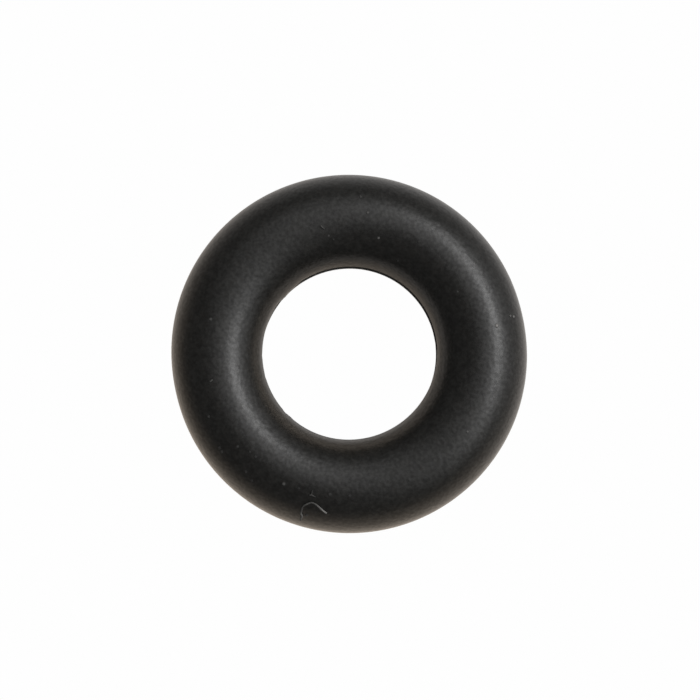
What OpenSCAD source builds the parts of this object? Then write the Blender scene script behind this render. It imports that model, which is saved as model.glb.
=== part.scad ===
// Rubber o-ring, moulded in one shot between two mould plates.
// The ring lies flat round the Z axis, and the plates parted at Z = 0. The upper plate lay a little
// to one side of the lower one, so the two halves of the ring are out of line by the same amount.

/* [Ring] */
// Inside diameter of the ring, as the mould is cut
inside_d = 4.6; // [2:0.1:12]
// Diameter of the rubber section
section_d = 2.4; // [1.6:0.1:3]

/* [Parting line] */
// How far the upper half of the ring lies to one side of the lower half
mould_shift = 0.09; // [0:0.01:0.12]
// Direction in which the upper half lies, anticlockwise from +X in degrees
mould_shift_angle = 94; // [0:1:359]
// Height of the flat band, inside and outside, where the flash was trimmed off
trim_h = 0.3; // [0.1:0.05:0.5]
// Height, above and below the parting line, up to which wear has blended the outer step
blend_h = 0.55; // [0.3:0.05:0.6]

/* [Hidden] */
RING_FN = 180;
SECTION_FN = 96;

// Radius of the circle through the middle of the section
ring_r = (inside_d + section_d) / 2;
section_r = section_d / 2;
// Distance from the middle of the section to the trimmed bands
trim_r = sqrt(pow(section_r, 2) - pow(trim_h / 2, 2));
// The upper half lies this far from the ring's centre, and the lower half as far the other way
half_shift = mould_shift / 2 * [cos(mould_shift_angle), sin(mould_shift_angle), 0];
// The blend ends just inside the skin of the other half
BLEND_COVER = 0.02;
blend_r = sqrt(pow(section_r, 2) - pow(blend_h, 2)) - mould_shift - BLEND_COVER;

// One half of the section: the round cavity of one plate, trimmed flat inside and outside.
module half_section() {
    intersection() {
        circle(d = section_d, $fn = SECTION_FN);
        translate([-trim_r, 0])
            square([2 * trim_r, section_r]);
    }
}

// The worn shoulder that carries one half's outer step over into the other half.
module step_blend() {
    polygon([
        [0, 0],
        [trim_r, 0],
        [trim_r, -trim_h / 2],
        [blend_r, -blend_h],
        [0, -blend_h]
    ]);
}

// One half of the ring, above the parting line, with its shoulder below it.
module half_ring() {
    rotate_extrude($fn = RING_FN)
        translate([ring_r, 0]) {
            half_section();
            step_blend();
        }
}

module o_ring() {
    color([0.08, 0.08, 0.085]) {
        translate(half_shift)
            half_ring();
        translate(-half_shift)
            mirror([0, 0, 1])
                half_ring();
    }
}

o_ring();
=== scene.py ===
"""A moulded rubber o-ring that lies flat on a white surface, seen from straight above.

The ring came out of a two-part mould whose upper plate lay slightly to one side, so its two halves are
out of line: a narrow step inside the hole, and a step that is worn away outside. Threads of lint and
some dust lie on it. Lengths are in metres where nothing else is said.
"""

import math

import bpy
import numpy as np
from mathutils import Matrix, Vector

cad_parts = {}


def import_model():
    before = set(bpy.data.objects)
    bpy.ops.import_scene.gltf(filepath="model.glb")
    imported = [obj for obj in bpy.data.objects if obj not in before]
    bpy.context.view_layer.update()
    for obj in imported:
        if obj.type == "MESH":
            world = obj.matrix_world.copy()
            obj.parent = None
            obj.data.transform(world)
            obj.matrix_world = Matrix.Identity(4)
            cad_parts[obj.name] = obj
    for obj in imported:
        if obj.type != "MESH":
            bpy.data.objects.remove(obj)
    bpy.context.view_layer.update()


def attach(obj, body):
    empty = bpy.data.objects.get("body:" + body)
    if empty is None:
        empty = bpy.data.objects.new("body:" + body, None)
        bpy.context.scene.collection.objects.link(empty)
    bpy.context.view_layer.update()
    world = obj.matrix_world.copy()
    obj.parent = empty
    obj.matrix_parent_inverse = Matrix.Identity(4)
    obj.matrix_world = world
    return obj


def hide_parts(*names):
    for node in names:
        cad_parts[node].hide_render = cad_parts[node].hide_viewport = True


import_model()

MM = 0.001

# The ring's sizes, as they are in the part
INSIDE_D = 4.6 * MM
SECTION_D = 2.4 * MM
TRIM_H = 0.3 * MM

# How far, and in which direction, the upper half of the ring is out of line with the lower one. The part
# gives it 0.09 mm toward 94 degrees all over: seen closely, the hole and the outside differ from that.
HOLE_SHIFT = 0.09 * MM
HOLE_SHIFT_ANGLE = math.radians(72)
OUTER_SHIFT = 0.1 * MM
OUTER_SHIFT_ANGLE = math.radians(102)
# Outside, the lead passes from one half to the other over this much of the cosine to that direction
OUTER_TURNOVER = 0.5
# The hole is slightly oval: its radius is this much longer in this direction, and as much shorter across it
HOLE_OVAL = 0.013 * MM
HOLE_OVAL_ANGLE = math.radians(38)

# The half that lies back inside the hole leans out toward its foot from this height. It leaves a flat lip
# of this width in front of it, except near the directions square to LIP_ANGLE.
FOOT_H = 0.5 * MM
LIP_W = 0.033 * MM
LIP_ANGLE = math.radians(45)
# The lip starts at this cosine to that direction, and has its full width this much further on
LIP_START = 0.05
LIP_RISE = 0.2
# Rows of points, this share of the lip in from its two edges, keep its corners sharp
LIP_EDGE = 0.12
# Small flaws along the parting line in the hole, left by the trimming: their direction in degrees, and
# how far out they lie in millimetres. Each is about as wide as the angle below.
LIP_FLAWS = [
    (7, 0.006),
    (138, -0.010),
    (142, 0.007),
    (181, 0.007),
    (195, 0.007),
    (222, 0.012),
    (227, -0.007),
]
LIP_FLAW_WIDTH = math.radians(1.6)

# Height, above and below the parting line, over which the outer step is worn away
WORN_H = 0.9 * MM

RING_R = (INSIDE_D + SECTION_D) / 2
SECTION_R = SECTION_D / 2
TRIM_R = math.sqrt(SECTION_R**2 - (TRIM_H / 2) ** 2)
FLOOR_Z = -SECTION_R

# The photograph's frame in pixels: its size, how wide the ring is in it, and where the ring's centre is
FRAME_PX = 700
RING_PX = 355
CENTRE_PX = (348.7, 353.6)
# A pixel's size on the ring
PX = (INSIDE_D + 2 * SECTION_D) / RING_PX
# The camera's height above the parting plane, and how far the lamps are from the ring
CAMERA_H = 0.07
LAMP_DISTANCE = 0.5

# How light the rubber is, and its colours where it is bare and where a film of dust lies on it
RUBBER_LIGHT = 0.006
BARE_COLOR = (0.0036, 0.0033, 0.0025)
FILM_COLOR = (0.0092, 0.0086, 0.0073)
# How light the white surface and the background are where the camera sees them
SEEN_WHITE = 0.991

# The tint of the dust
DUST_TINT = (1.0, 0.97, 0.93)
# A speck rises by this share of its radius, and is sunk in the rubber by this share of its height
SPECK_RISE = 0.3
SPECK_SUNK = 0.1
# The middle of a thread lies this share of its radius above the rubber
THREAD_RISE = 0.8
# Specks of dust: their place in the photograph's pixels, their width in pixels, and how light they are
SPECKS = [
    ((283.2, 483.3), 4.0, 0.070),
    ((378.0, 237.3), 3.0, 0.118),
    ((328.0, 235.2), 2.8, 0.055),
    ((513.0, 316.0), 3.6, 0.147),
    ((509.8, 315.3), 3.4, 0.100),
    ((210.2, 318.6), 3.9, 0.058),
    ((219.0, 447.2), 3.4, 0.028),
    ((221.3, 451.2), 3.6, 0.042),
    ((237.0, 446.0), 3.4, 0.032),
    ((249.3, 451.3), 2.8, 0.022),
    ((245.3, 471.3), 3.4, 0.027),
    ((329.3, 493.6), 3.8, 0.030),
    ((467.0, 431.0), 3.4, 0.095),
    ((397.0, 260.0), 2.6, 0.018),
    ((360.3, 196.3), 3.0, 0.046),
    ((367.4, 212.0), 3.4, 0.088),
    # This speck lies in the rubber's highlight and is made lighter for it: its lightness is partly the dust's
    # own colour and partly a painted highlight.
    ((496.3, 325.0), 4.4, 0.235),
    ((457.0, 291.0), 2.6, 0.048),
    ((333.0, 239.0), 2.4, 0.027),
    ((208.0, 416.0), 3.4, 0.040),
    ((251.0, 480.0), 3.4, 0.022),
    ((255.0, 456.0), 3.4, 0.024),
    ((418.0, 241.0), 3.0, 0.022),
    ((298.0, 488.0), 3.4, 0.015),
    ((349.0, 495.0), 3.4, 0.024),
    ((306.0, 514.7), 3.6, 0.054),
]
# Threads of lint: each point's place in the photograph's pixels, the thread's width there in pixels, and
# how light it is
LONG_THREAD = [
    (300.0, 519.0, 1.5, 0.070),
    (300.9, 516.8, 1.7, 0.085),
    (301.8, 514.8, 1.8, 0.105),
    (300.7, 512.4, 1.9, 0.105),
    (301.2, 509.7, 1.8, 0.062),
    (301.8, 507.1, 1.7, 0.046),
    (303.4, 504.9, 1.6, 0.046),
    (306.5, 503.2, 1.8, 0.076),
    (309.2, 502.1, 1.7, 0.060),
    (311.4, 501.8, 1.6, 0.048),
    (313.9, 502.7, 1.7, 0.058),
    (317.1, 504.8, 1.8, 0.082),
    (320.5, 507.8, 1.9, 0.130),
    (323.2, 510.2, 1.9, 0.155),
    (326.2, 512.3, 1.7, 0.118),
]
SHORT_THREADS = [
    [
        (308.9, 494.4, 1.4, 0.035),
        (311.0, 494.2, 1.7, 0.045),
        (313.4, 495.5, 1.4, 0.038),
        (315.2, 496.5, 1.0, 0.022),
    ],
    [
        (311.9, 489.8, 1.3, 0.018),
        (311.4, 491.8, 1.4, 0.025),
        (311.1, 493.2, 1.3, 0.034),
    ],
    [
        (320.0, 225.0, 1.6, 0.064),
        (322.0, 226.9, 1.4, 0.050),
        (324.0, 228.6, 1.1, 0.035),
    ],
    [
        (209.4, 381.2, 1.5, 0.040),
        (210.8, 380.1, 1.7, 0.056),
        (212.2, 378.8, 1.5, 0.050),
    ],
]


def principled(name, color, roughness):
    """A new material with its node tree and its Principled shader."""
    material = bpy.data.materials.new(name)
    material.use_nodes = True
    shader = material.node_tree.nodes["Principled BSDF"]
    shader.inputs["Base Color"].default_value = (*color, 1)
    shader.inputs["Roughness"].default_value = roughness
    return material, material.node_tree, shader


def object_place(tree):
    """The place that is shaded, in the object's own coordinates."""
    return tree.nodes.new("ShaderNodeTexCoord").outputs["Object"]


def plug(tree, socket, value):
    """Sets a socket to a number or a colour, or links an output to it."""
    if isinstance(value, (int, float)):
        socket.default_value = value
    elif isinstance(value, tuple):
        socket.default_value = (*value, 1)
    else:
        tree.links.new(value, socket)


def calc(tree, operation, first, second=0.0):
    """What a Math node makes of one or two values, each a number or an output."""
    node = tree.nodes.new("ShaderNodeMath")
    node.operation = operation
    plug(tree, node.inputs[0], first)
    plug(tree, node.inputs[1], second)
    return node.outputs[0]


def vector_calc(tree, operation, vector, constant=(0, 0, 0)):
    """The outputs of a Vector Math node on a vector, and on a constant one if the operation takes two."""
    node = tree.nodes.new("ShaderNodeVectorMath")
    node.operation = operation
    tree.links.new(vector, node.inputs[0])
    node.inputs[1].default_value = constant
    return node.outputs


def dot(tree, vector, direction):
    """How far a vector reaches in that direction."""
    return vector_calc(tree, "DOT_PRODUCT", vector, direction)["Value"]


def normalized(tree, vector):
    """A vector's direction, as a vector with the length 1."""
    return vector_calc(tree, "NORMALIZE", vector)["Vector"]


def length(tree, vector):
    """How long a vector is."""
    return vector_calc(tree, "LENGTH", vector)["Value"]


def leaning(tree, vector, level, x, y):
    """A level that rises by x for each unit of the vector along X, and by y along Y."""
    return calc(tree, "ADD", dot(tree, vector, (x, y, 0)), level)


def mapped(tree, value, low, high, to_low=0.0, to_high=1.0, kind="SMOOTHSTEP"):
    """The value's range from low to high, carried over to another range."""
    node = tree.nodes.new("ShaderNodeMapRange")
    node.interpolation_type = kind
    node.inputs["From Min"].default_value = low
    node.inputs["From Max"].default_value = high
    node.inputs["To Min"].default_value = to_low
    node.inputs["To Max"].default_value = to_high
    tree.links.new(value, node.inputs["Value"])
    return node.outputs["Result"]


def mixed(tree, share, first, second):
    """A colour between two others, each a colour or an output."""
    node = tree.nodes.new("ShaderNodeMix")
    node.data_type = "RGBA"
    tree.links.new(share, node.inputs[0])
    # The node's sockets for colours: two inputs and one output
    plug(tree, node.inputs[6], first)
    plug(tree, node.inputs[7], second)
    return node.outputs[2]


def blended(tree, share, first, second):
    """A shader between two others."""
    node = tree.nodes.new("ShaderNodeMixShader")
    tree.links.new(share, node.inputs["Fac"])
    tree.links.new(first, node.inputs[1])
    tree.links.new(second, node.inputs[2])
    return node.outputs["Shader"]


def emission(tree, color, strength):
    """A shader that glows, with its colour and its strength each a constant or an output."""
    node = tree.nodes.new("ShaderNodeEmission")
    plug(tree, node.inputs["Color"], color)
    plug(tree, node.inputs["Strength"], strength)
    return node.outputs["Emission"]


def noise(tree, feature, detail, rough=0.5):
    """A noise texture on object coordinates, with its features' size in metres."""
    texture = tree.nodes.new("ShaderNodeTexNoise")
    texture.inputs["Scale"].default_value = 1 / feature
    texture.inputs["Detail"].default_value = detail
    texture.inputs["Roughness"].default_value = rough
    tree.links.new(object_place(tree), texture.inputs["Vector"])
    return texture.outputs["Fac"]


def bump(tree, height, depth, below=None):
    """A bump of that depth in metres, on top of another one if one is given."""
    node = tree.nodes.new("ShaderNodeBump")
    node.inputs["Distance"].default_value = depth
    tree.links.new(height, node.inputs["Height"])
    if below:
        tree.links.new(below, node.inputs["Normal"])
    return node.outputs["Normal"]


def rubber():
    """Black moulded rubber: matt, with a fine grain, and a thin film of dust in the grain."""
    material, tree, shader = principled("black_rubber", (RUBBER_LIGHT,) * 3, roughness=0.42)
    shader.inputs["IOR"].default_value = 1.5
    shader.inputs["Anisotropic"].default_value = 0.22
    round_the_axis = tree.nodes.new("ShaderNodeTangent")
    round_the_axis.direction_type = "RADIAL"
    round_the_axis.axis = "Z"
    tree.links.new(round_the_axis.outputs["Tangent"], shader.inputs["Tangent"])

    mottle_noise = noise(tree, feature=0.25 * MM, detail=1.0)
    mottle = bump(tree, mottle_noise, depth=0.0035 * MM)
    grain_noise = noise(tree, feature=0.11 * MM, detail=0.5, rough=0.4)
    grain = bump(tree, grain_noise, depth=0.0048 * MM, below=mottle)
    tree.links.new(grain, shader.inputs["Normal"])

    gloss_noise = noise(tree, feature=0.09 * MM, detail=1.0)
    gloss = mapped(tree, gloss_noise, low=0.3, high=0.7, to_low=0.42, to_high=0.58)
    tree.links.new(gloss, shader.inputs["Specular IOR Level"])

    film_noise = noise(tree, feature=0.16 * MM, detail=1.5, rough=0.6)
    film = mapped(tree, film_noise, low=0.37, high=0.7)
    tree.links.new(mixed(tree, film, BARE_COLOR, FILM_COLOR), shader.inputs["Base Color"])
    return material


def dust():
    """Pale dust and lint, as light as its own attribute says."""
    material, tree, shader = principled("dust", (0.1, 0.1, 0.1), roughness=0.9)
    lightness = tree.nodes.new("ShaderNodeAttribute")
    lightness.attribute_name = "lightness"
    tree.links.new(lightness.outputs["Color"], shader.inputs["Base Color"])
    return material


def smooth(t):
    """From 0 to 1 as t does, flat at both ends."""
    t = np.clip(t, 0, 1)
    return t * t * (3 - 2 * t)


def upper_shift(theta, x):
    """How far out the upper half lies at that place round the ring, at x from the middle of the section.

    The lower half lies as far in.
    """
    outward = smooth((x / SECTION_R + 1) / 2)
    turn = HOLE_SHIFT_ANGLE + (OUTER_SHIFT_ANGLE - HOLE_SHIFT_ANGLE) * outward
    shift = HOLE_SHIFT + (OUTER_SHIFT - HOLE_SHIFT) * outward
    return shift / 2 * np.cos(theta - turn)


def outer_shift(theta, x, z):
    """How far out the outer skin lies at that height.

    The half that stands out keeps its full reach at the parting line, and runs out in the other half.
    """
    upper_leads = smooth(np.cos(theta - OUTER_SHIFT_ANGLE) / OUTER_TURNOVER + 0.5)
    below = smooth(1 + z / WORN_H) * 2 - 1
    above = 1 - smooth(1 - z / WORN_H) * 2
    return upper_shift(theta, x) * (upper_leads * below + (1 - upper_leads) * above)


def flaw_shift(theta):
    """How far out the flaws bring the parting line in the hole."""
    shift = 0 * theta
    for turn, out in LIP_FLAWS:
        off = 1 - np.cos(theta - math.radians(turn))
        shift = shift + out * MM * np.exp(-2 * off / LIP_FLAW_WIDTH**2)
    return shift


def hole_shift(theta, x, z, side):
    """How far out the hole's skin lies at that height, on the upper half (side 1) or the lower one (-1)."""
    own = side * upper_shift(theta, x)
    near_line = max(1 - abs(z) / FOOT_H, 0) ** 2
    lip = LIP_W * smooth((np.abs(np.cos(theta - LIP_ANGLE)) - LIP_START) / LIP_RISE)
    foot = np.maximum(2 * own - lip, 0) * near_line
    oval = HOLE_OVAL * np.cos(2 * (theta - HOLE_OVAL_ANGLE)) * smooth(-x / SECTION_R)
    return own - foot + oval + flaw_shift(theta) * near_line


def skin_shift(theta, x, z, side):
    """How far out the skin lies anywhere on the section, on the upper half (side 1) or the lower one (-1)."""
    return outer_shift(theta, x, z) if x > 0 else hole_shift(theta, x, z, side)


def ring_mesh(around=600, arc_steps=66):
    """The ring as one closed skin. Rows follow each other round the section, and columns round the ring."""
    theta = np.arange(around) * 2 * math.pi / around
    land_angle = math.asin(TRIM_H / 2 / SECTION_R)
    arc = np.linspace(land_angle, math.pi - land_angle, arc_steps)
    # Heights of the rows on the walls of the hole and of the outside, near the parting line
    foot_z = np.array([0.015, 0.05, 0.1]) * MM
    outer_z = np.array([0.1, 0.05, 0, -0.05, -0.1]) * MM
    # The lip's rows lie this far above and below the parting line
    half_gap = 0.0005 * MM
    upper_foot = hole_shift(theta, -TRIM_R, 0, 1)
    lower_foot = hole_shift(theta, -TRIM_R, 0, -1)
    rows = []

    def add(x, z, shift):
        """A row round the ring, at that place of the section, with how far out each of its points lies."""
        rows.append(np.stack([RING_R + x + shift, z + 0 * theta], 1))

    def add_arc(angles, side):
        """Rows at those angles round the section, on the upper half (side 1) or the lower one (-1)."""
        for a in angles:
            x, z = SECTION_R * math.cos(a), SECTION_R * math.sin(a)
            add(x, z, skin_shift(theta, x, z, side))

    # From the lip inside the hole, up the wall's foot, over the top, down outside and back below to the lip
    add(-TRIM_R, half_gap, (1 - LIP_EDGE) * upper_foot + LIP_EDGE * lower_foot)
    add(-TRIM_R, half_gap, upper_foot)
    for z in foot_z:
        add(-TRIM_R, z, hole_shift(theta, -TRIM_R, z, 1))
    add_arc(arc[::-1], 1)
    for z in outer_z:
        add(TRIM_R, z, outer_shift(theta, TRIM_R, z))
    add_arc(-arc, -1)
    for z in -foot_z[::-1]:
        add(-TRIM_R, z, hole_shift(theta, -TRIM_R, z, -1))
    add(-TRIM_R, -half_gap, lower_foot)
    add(-TRIM_R, -half_gap, (1 - LIP_EDGE) * lower_foot + LIP_EDGE * upper_foot)

    r, z = np.array(rows)[..., 0], np.array(rows)[..., 1]
    points = np.stack([r * np.cos(theta), r * np.sin(theta), z], 2).reshape(-1, 3)
    return mesh_of("ring_skin", points, grid_faces(len(rows), around, closed=True))


def grid_faces(rows, columns, closed):
    """Faces between neighbouring rows of points. The columns close up, and the rows do if closed."""
    faces = []
    for j in range(rows if closed else rows - 1):
        for i in range(columns):
            k, m = (j + 1) % rows, (i + 1) % columns
            faces.append((j * columns + i, j * columns + m, k * columns + m, k * columns + i))
    return faces


def tube_faces(rows, columns, start):
    """Faces of a tube whose points begin at that number: its wall, and a cap on each end."""
    wall = grid_faces(rows, columns, closed=False)
    first_cap = tuple(reversed(range(columns)))
    last_cap = tuple(range((rows - 1) * columns, rows * columns))
    return [tuple(start + corner for corner in face) for face in [*wall, first_cap, last_cap]]


def mesh_of(name, points, faces):
    """A mesh with smooth shading."""
    mesh = bpy.data.meshes.new(name)
    mesh.from_pydata([tuple(p) for p in points], [], faces)
    mesh.validate()
    mesh.shade_smooth()
    return mesh


def on_ring(x_px, y_px):
    """The place on the ring's upper side that shows at that pixel, and the direction it faces."""
    x0 = (x_px - CENTRE_PX[0]) * PX
    y0 = (CENTRE_PX[1] - y_px) * PX
    theta = math.atan2(y0, x0)
    z = SECTION_R
    # The height moves the place in the camera's view, and the place gives the height: this settles both
    for _ in range(12):
        r = math.hypot(x0, y0) * (CAMERA_H - z) / CAMERA_H
        x = r - RING_R
        x -= skin_shift(theta, x, z, 1)
        z = math.sqrt(max(SECTION_R**2 - x * x, 0))
    place = Vector((r * math.cos(theta), r * math.sin(theta), z))
    facing = Vector((x * math.cos(theta), x * math.sin(theta), z)).normalized()
    return place, facing


def with_lightness(mesh, lightness):
    """The mesh, with how light each of its points is, in the tint of the dust."""
    attribute = mesh.attributes.new("lightness", "FLOAT_COLOR", "POINT")
    for item, light in zip(attribute.data, lightness):
        item.color = (*(light * part for part in DUST_TINT), 1)
    return mesh


def speck_mesh(columns=12, climb=(0, 25, 50, 75, 89)):
    """The dust: low round domes, each with its own lightness, which fades out toward its rim.

    A dome's rows of points lie at the angles of its climb, in degrees, from its rim to its top.
    """
    points, faces, lightness = [], [], []
    for (x_px, y_px), width_px, light in SPECKS:
        place, facing = on_ring(x_px, y_px)
        across = facing.orthogonal().normalized()
        along = facing.cross(across)
        radius = width_px * PX / 2
        height = SPECK_RISE * radius
        faces += tube_faces(len(climb), columns, start=len(points))
        for turn in climb:
            a = math.radians(turn)
            rise = height * math.sin(a) - SPECK_SUNK * height
            for i in range(columns):
                b = 2 * math.pi * i / columns
                flat = across * math.cos(b) + along * math.sin(b)
                points.append(place + flat * radius * math.cos(a) + facing * rise)
                lightness.append(RUBBER_LIGHT + (light - RUBBER_LIGHT) * math.sin(a) ** 2)
    return with_lightness(mesh_of("specks", points, faces), lightness)


def thread_path(points, steps=5):
    """A smooth line through the points, as rows of the same values as the points have."""
    p = np.array(points)
    p = np.vstack([2 * p[0] - p[1], p, 2 * p[-1] - p[-2]])
    rows = []
    for k in range(1, len(p) - 2):
        a, b, c, d = p[k - 1 : k + 3]
        for t in np.arange(steps) / steps:
            bend = (2 * a - 5 * b + 4 * c - d) * t**2 + (3 * b - a - 3 * c + d) * t**3
            rows.append(b + 0.5 * ((c - a) * t + bend))
    return rows + [p[-2]]


def lint_mesh(columns=8):
    """The threads of lint: round tubes that lie on the ring."""
    points, faces, lightness = [], [], []
    for thread in [LONG_THREAD, *SHORT_THREADS]:
        rows = thread_path(thread)
        places = [on_ring(x_px, y_px) for x_px, y_px, _, _ in rows]
        faces += tube_faces(len(rows), columns, start=len(points))
        for k, ((place, facing), (_, _, width_px, light)) in enumerate(zip(places, rows)):
            ahead = places[min(k + 1, len(rows) - 1)][0] - places[max(k - 1, 0)][0]
            side = ahead.cross(facing).normalized()
            up = side.cross(ahead).normalized()
            radius = width_px * PX / 2
            middle = place + facing * THREAD_RISE * radius
            lightness += [light] * columns
            for i in range(columns):
                b = 2 * math.pi * i / columns
                points.append(middle + (side * math.cos(b) + up * math.sin(b)) * radius)
    return with_lightness(mesh_of("threads", points, faces), lightness)


def add_object(name, data, material=None):
    """A new object in the scene, with its material if it has one."""
    made = bpy.data.objects.new(name, data)
    bpy.context.scene.collection.objects.link(made)
    if material:
        data.materials.append(material)
    return made


def glow_round_ring(tree, way, distance):
    """How strongly the floor outside the ring glows: most beside the ring, and less with the distance.

    Beside the ring it glows most at the bottom of the picture and least toward the top.
    """
    near, far = 1.47, 0.42
    fade_start, fade_length = 5 * MM, 3.2 * MM
    more_at_ends = 0.31
    up = dot(tree, way, (0, 1, 0))
    at_ends = calc(tree, "MULTIPLY", calc(tree, "MULTIPLY", up, up), more_at_ends)
    beside = calc(tree, "ADD", leaning(tree, way, near, x=0.11, y=-0.465), at_ends)
    past_start = calc(tree, "SUBTRACT", distance, fade_start)
    fading = calc(tree, "EXPONENT", calc(tree, "DIVIDE", past_start, -fade_length))
    above_far = calc(tree, "MULTIPLY", fading, calc(tree, "SUBTRACT", beside, far))
    return calc(tree, "ADD", above_far, far)


def glow_in_hole(tree, place, way, distance):
    """How strongly the floor in the hole glows: a part all over, a ring halfway out, and the edge."""
    least = 0.12
    halfway, halfway_width = 1.27 * MM, 0.45 * MM
    edge_start, edge_full = 1.6 * MM, 2.6 * MM
    all_over = leaning(tree, place, 0.28, x=-0.17 / MM, y=0.31 / MM)
    off = calc(tree, "DIVIDE", calc(tree, "SUBTRACT", distance, halfway), halfway_width)
    on_halfway = calc(tree, "EXPONENT", calc(tree, "MULTIPLY", calc(tree, "MULTIPLY", off, off), -1.0))
    at_halfway = calc(tree, "MULTIPLY", on_halfway, leaning(tree, way, 0.66, x=0.12, y=-0.78))
    on_edge = mapped(tree, distance, edge_start, edge_full)
    at_edge = calc(tree, "MULTIPLY", on_edge, leaning(tree, way, 1.32, x=0.95, y=0.2))
    glow = calc(tree, "ADD", calc(tree, "ADD", all_over, at_halfway), at_edge)
    return calc(tree, "MAXIMUM", glow, least)


def glow_color(tree, place, is_hole):
    """The glow's tint: warmer toward the bottom left, and in the hole more steeply, toward the top right."""
    warm_way = (-0.5, -0.85, 0)
    hole_slope, hole_offset = -4.0, 0.8 * MM
    cool_end, warm_end = -7 * MM, 5 * MM
    cool, warm = (1.0, 0.98, 0.97), (1.0, 0.86, 0.72)
    slope = calc(tree, "ADD", calc(tree, "MULTIPLY", is_hole, hole_slope - 1), 1.0)
    toward_warm = calc(tree, "MULTIPLY", dot(tree, place, warm_way), slope)
    toward_warm = calc(tree, "ADD", toward_warm, calc(tree, "MULTIPLY", is_hole, hole_offset))
    warmth = mapped(tree, toward_warm, cool_end, warm_end, kind="LINEAR")
    return mixed(tree, warmth, cool, warm)


def floor():
    """A plain white surface, evenly white where the camera sees it, which glows in the ring's gloss."""
    bpy.ops.mesh.primitive_plane_add(size=0.4, location=(0, 0, FLOOR_Z))
    plane = bpy.context.object
    plane.name = "floor"
    material, tree, shader = principled("white_floor", (0.8, 0.8, 0.8), roughness=0.9)
    place = object_place(tree)
    way = normalized(tree, place)
    distance = length(tree, place)
    is_hole = calc(tree, "LESS_THAN", distance, RING_R)
    is_outside = calc(tree, "SUBTRACT", 1.0, is_hole)
    hole_part = calc(tree, "MULTIPLY", glow_in_hole(tree, place, way, distance), is_hole)
    outside_part = calc(tree, "MULTIPLY", glow_round_ring(tree, way, distance), is_outside)
    strength = calc(tree, "ADD", hole_part, outside_part)

    path = tree.nodes.new("ShaderNodeLightPath")
    in_gloss = emission(tree, glow_color(tree, place, is_hole), strength)
    seen = emission(tree, (1.0, 1.0, 1.0), SEEN_WHITE)
    lit = blended(tree, path.outputs["Is Glossy Ray"], shader.outputs["BSDF"], in_gloss)
    surface = blended(tree, path.outputs["Is Camera Ray"], lit, seen)
    tree.links.new(surface, tree.nodes["Material Output"].inputs["Surface"])
    plane.data.materials.append(material)


def world():
    """White behind everything, and a dim room otherwise."""
    room = bpy.data.worlds.new("room")
    bpy.context.scene.world = room
    room.use_nodes = True
    tree = room.node_tree
    dim = tree.nodes["Background"]
    dim.inputs["Color"].default_value = (1, 1, 1, 1)
    dim.inputs["Strength"].default_value = 0.18
    white = tree.nodes.new("ShaderNodeBackground")
    white.inputs["Color"].default_value = (1, 1, 1, 1)
    white.inputs["Strength"].default_value = SEEN_WHITE
    is_seen = tree.nodes.new("ShaderNodeLightPath").outputs["Is Camera Ray"]
    surface = blended(tree, is_seen, dim.outputs["Background"], white.outputs["Background"])
    tree.links.new(surface, tree.nodes["World Output"].inputs["Surface"])


def lamp(name, azimuth, from_top, size, radiance, turn=0.0):
    """A rectangular lamp that faces the ring.

    Its place is in degrees, round from +X and down from straight above. Its size is across and up the sky,
    and it is turned by that many degrees in its own plane.
    """
    data = bpy.data.lights.new(name, "AREA")
    data.shape = "RECTANGLE"
    data.size, data.size_y = size
    data.energy = radiance * math.pi * size[0] * size[1]
    made = add_object(name, data)
    a, t, r = math.radians(azimuth), math.radians(from_top), math.radians(turn)
    out = Vector((math.sin(t) * math.cos(a), math.sin(t) * math.sin(a), math.cos(t)))
    across = Vector((-math.sin(a), math.cos(a), 0))
    x = across * math.cos(r) + out.cross(across) * math.sin(r)
    made.location = out * LAMP_DISTANCE
    made.rotation_mode = "QUATERNION"
    made.rotation_quaternion = Matrix((x, out.cross(x), out)).transposed().to_quaternion()


def camera():
    """Straight above, with the photograph's scale and framing."""
    data = bpy.data.cameras.new("camera")
    data.sensor_width = 36
    data.lens = data.sensor_width * CAMERA_H / (FRAME_PX * PX)
    data.clip_start = 0.01
    made = add_object("camera", data)
    middle = (FRAME_PX - 1) / 2
    made.location = ((middle - CENTRE_PX[0]) * PX, (CENTRE_PX[1] - middle) * PX, CAMERA_H)
    bpy.context.scene.camera = made


camera()
floor()
world()
lamp("main_lamp", azimuth=20, from_top=40.8, size=(0.42, 0.06), radiance=17.1, turn=2)
lamp("wide_lamp", azimuth=25.4, from_top=26.5, size=(1.39, 0.52), radiance=0.735, turn=16.8)
lamp("side_lamp", azimuth=11, from_top=66, size=(0.6, 0.55), radiance=0.52)

ring = add_object("rubber_ring", ring_mesh(), rubber())
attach(ring, "root")
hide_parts("o_ring")

pale = dust()
specks = add_object("dust_specks", speck_mesh(), pale)
threads = add_object("lint_threads", lint_mesh(), pale)
for piece in (specks, threads):
    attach(piece, "root")

bpy.context.scene.view_settings.view_transform = "Standard"
